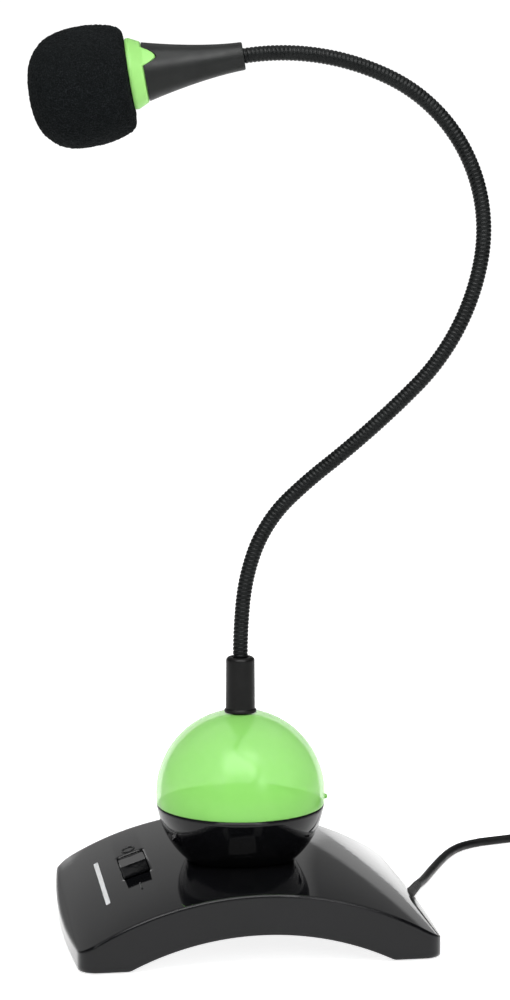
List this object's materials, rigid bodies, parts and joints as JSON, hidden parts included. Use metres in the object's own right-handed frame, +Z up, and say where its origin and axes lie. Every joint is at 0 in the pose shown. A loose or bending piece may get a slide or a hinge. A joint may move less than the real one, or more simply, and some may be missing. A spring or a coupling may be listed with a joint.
{
  "type": "gooseneck desk microphone",
  "caption": "Desk microphone: foam-covered head on a flexible neck, a two-part ball housing, and an arched base with a rocker switch and a cable.",
  "frame": {"origin": "centre of the footprint of the stand, neck and head together, on the surface that the rubber feet stand on; the cord is left out of it", "axes": "+Z up along the neck, -Y to the front of the base, +X towards the end of the base where the cable leaves"},
  "size_m": [0.3098, 0.1879, 0.38],
  "materials": {
    "gloss_black": "high gloss moulded, black",
    "satin_black": "satin black",
    "neck_jacket": "satin black, fine ribs across the tube",
    "head_black": "satin moulded, black",
    "matte_black": "fine moulded texture, black",
    "rubber": "matte black",
    "cord": "smooth black jacket",
    "steel": "plated",
    "iron": "as cast",
    "brass": "polished",
    "green_clear": "frosted translucent green",
    "green_solid": "smooth green",
    "foam": "open-cell foam, black"
  },
  "bodies": {
    "stand": {"ball_bowl": "gloss_black", "ball_dome": "green_clear", "ball_lead": "rubber", "ballast_left": "iron", "ballast_right": "iron", "base_cover": "matte_black", "base_lead": "rubber", "base_shell": "gloss_black", "cable": "cord", "cable_coil": "cord", "cable_tail": "cord", "cover_screw_1": "steel", "cover_screw_2": "steel", "cover_screw_3": "steel", "cover_screw_4": "steel", "neck_collar": "satin_black", "neck_cone_nut": "matte_black", "neck_lead_0": "rubber", "neck_segment_0": "neck_jacket", "pillar": "steel", "pillar_nut_lower": "steel", "pillar_nut_upper": "steel", "plug_grip": "matte_black", "plug_insulator": "matte_black", "plug_relief": "rubber", "plug_sleeve": "brass", "plug_tip": "brass", "rocker_housing": "matte_black", "rubber_foot_back_left": "rubber", "rubber_foot_back_right": "rubber", "rubber_foot_front_left": "rubber", "rubber_foot_front_right": "rubber", "strain_relief": "rubber", "switch_lead": "rubber", "switch_terminal_back": "brass", "switch_terminal_front": "brass"},
    "rocker": {"rocker": "gloss_black"},
    "windscreen": {"foam_windscreen": "foam"},
    "neck_1": {"neck_segment_1": "neck_jacket", "neck_lead_1": "rubber"},
    "neck_2": {"neck_segment_2": "neck_jacket", "neck_lead_2": "rubber"},
    "neck_3": {"neck_segment_3": "neck_jacket", "neck_lead_3": "rubber"},
    "neck_4": {"neck_segment_4": "neck_jacket", "neck_lead_4": "rubber"},
    "neck_5": {"neck_segment_5": "neck_jacket", "neck_lead_5": "rubber"},
    "head": {"neck_segment_6": "neck_jacket", "neck_lead_6": "rubber", "head_cone": "head_black", "head_ring": "green_solid", "capsule_grille": "steel", "capsule_boot": "rubber", "microphone_capsule": "steel", "capsule_lead": "rubber"}
  },
  "joints": [
    {"name": "neck_bend_1", "type": "hinge", "parent": "stand", "child": "neck_1", "pos_m": [-0.00754, -0.00303, 0.1251], "axis": [0.1461, 0.9893, 0], "range_deg": [-15, 25]},
    {"name": "neck_bend_2", "type": "hinge", "parent": "neck_1", "child": "neck_2", "pos_m": [0.01085, -0.00575, 0.18066], "axis": [0.7211, -0.1065, -0.6845], "range_deg": [-25, 25]},
    {"name": "neck_bend_3", "type": "hinge", "parent": "neck_2", "child": "neck_3", "pos_m": [0.05538, -0.01232, 0.22029], "axis": [0.1461, 0.9893, 0], "range_deg": [-25, 25]},
    {"name": "neck_bend_4", "type": "hinge", "parent": "neck_3", "child": "neck_4", "pos_m": [0.08811, -0.01716, 0.2694], "axis": [0.9456, -0.1396, -0.2938], "range_deg": [-25, 25]},
    {"name": "neck_bend_5", "type": "hinge", "parent": "neck_4", "child": "neck_5", "pos_m": [0.08351, -0.01648, 0.32755], "axis": [0.1461, 0.9893, 0], "range_deg": [-25, 25]},
    {"name": "neck_bend_6", "type": "hinge", "parent": "neck_5", "child": "head", "pos_m": [0.03266, -0.00897, 0.36393], "axis": [0.2252, -0.0333, 0.9737], "range_deg": [-25, 25]},
    {"name": "windscreen_pull", "type": "slide", "parent": "head", "child": "windscreen", "axis": [-0.9771, 0.1443, -0.1564], "range_m": [0, 0.036]},
    {"name": "rocker_press", "type": "hinge", "parent": "stand", "child": "rocker", "pos_m": [-0.05079, 0.0125, 0.0184], "axis": [0.9456, 0, 0.3255], "range_deg": [0, 20]}
  ]
}
